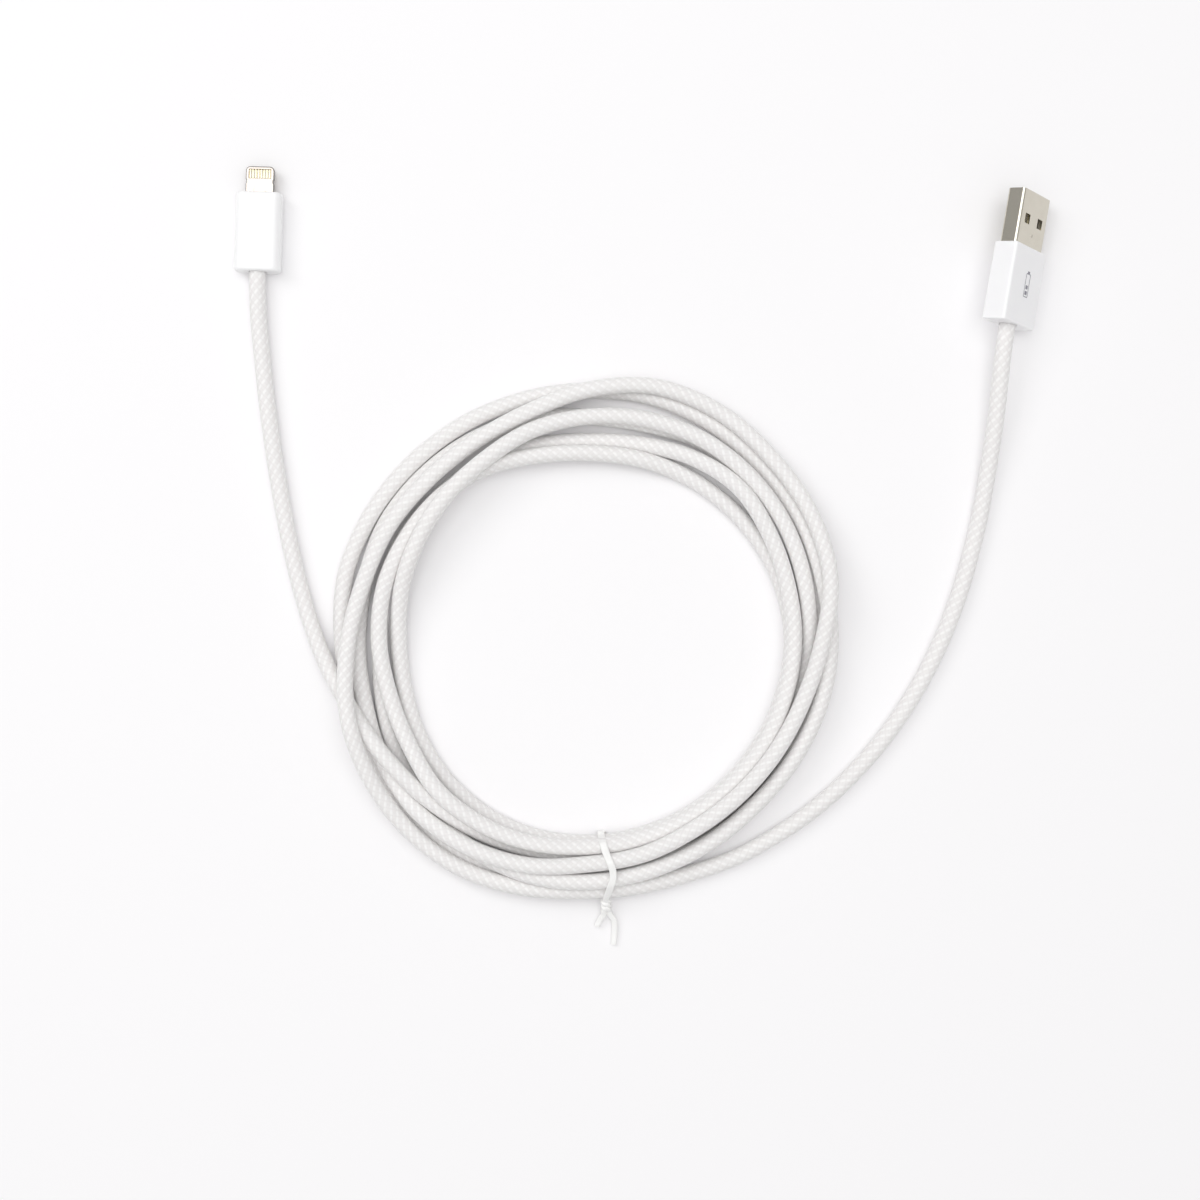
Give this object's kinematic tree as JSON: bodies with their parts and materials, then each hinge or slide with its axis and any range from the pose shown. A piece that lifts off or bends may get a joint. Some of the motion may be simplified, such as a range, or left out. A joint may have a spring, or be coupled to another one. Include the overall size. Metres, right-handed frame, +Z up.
{
  "type": "charging cable",
  "caption": "Braided charging cable with a slim phone plug and a square computer plug, its cord wound in a loose ring held by a coated wire tie.",
  "frame": {"origin": "midway between the two plugs in plan (the bottom centre of their common box), on the surface that the cable lies on", "axes": "+Z up from that surface; +Y the way both plugs roughly point, away from the coil; +X from the phone plug to the computer plug"},
  "size_m": [0.1946, 0.1868, 0.0136],
  "materials": {
    "white_abs": "moulded ABS, soft gloss",
    "tab_steel": "stamped stainless steel, satin",
    "nickel_steel": "nickel-plated steel sheet, folded",
    "gold_contact": "gold plate over copper alloy",
    "contact_insert": "moulded insulator",
    "tongue_plastic": "moulded insulator",
    "circuit_board": "glass-epoxy board",
    "chip_epoxy": "epoxy package",
    "inner_mould": "soft polyethylene over the soldered joints",
    "wire_red": "insulated conductor",
    "wire_white": "insulated conductor",
    "wire_green": "insulated conductor",
    "wire_black": "insulated conductor",
    "braided_sleeve": "woven nylon sleeve, light grey with white flecks",
    "tie_coating": "soft coating over a steel wire"
  },
  "bodies": {
    "root": {"cord_coil": "braided_sleeve", "cord_phone_lead": "braided_sleeve", "cord_usb_lead": "braided_sleeve", "phone_board": "circuit_board", "phone_chip": "chip_epoxy", "phone_housing": "white_abs", "phone_inner_mould": "inner_mould", "phone_wire_1": "wire_red", "phone_wire_2": "wire_white", "phone_wire_3": "wire_green", "phone_wire_4": "wire_black", "tab_contact_top_1": "gold_contact", "tab_contact_top_2": "gold_contact", "tab_contact_top_3": "gold_contact", "tab_contact_top_4": "gold_contact", "tab_contact_top_5": "gold_contact", "tab_contact_top_6": "gold_contact", "tab_contact_top_7": "gold_contact", "tab_contact_top_8": "gold_contact", "tab_contact_under_1": "gold_contact", "tab_contact_under_2": "gold_contact", "tab_contact_under_3": "gold_contact", "tab_contact_under_4": "gold_contact", "tab_contact_under_5": "gold_contact", "tab_contact_under_6": "gold_contact", "tab_contact_under_7": "gold_contact", "tab_contact_under_8": "gold_contact", "tab_frame": "tab_steel", "tab_insert": "contact_insert", "usb_blade_1": "gold_contact", "usb_blade_2": "gold_contact", "usb_blade_3": "gold_contact", "usb_blade_4": "gold_contact", "usb_housing": "white_abs", "usb_inner_mould": "inner_mould", "usb_shell": "nickel_steel", "usb_tongue": "tongue_plastic", "usb_wire_1": "wire_red", "usb_wire_2": "wire_white", "usb_wire_3": "wire_green", "usb_wire_4": "wire_black", "wire_tie": "tie_coating"}
  },
  "joints": []
}
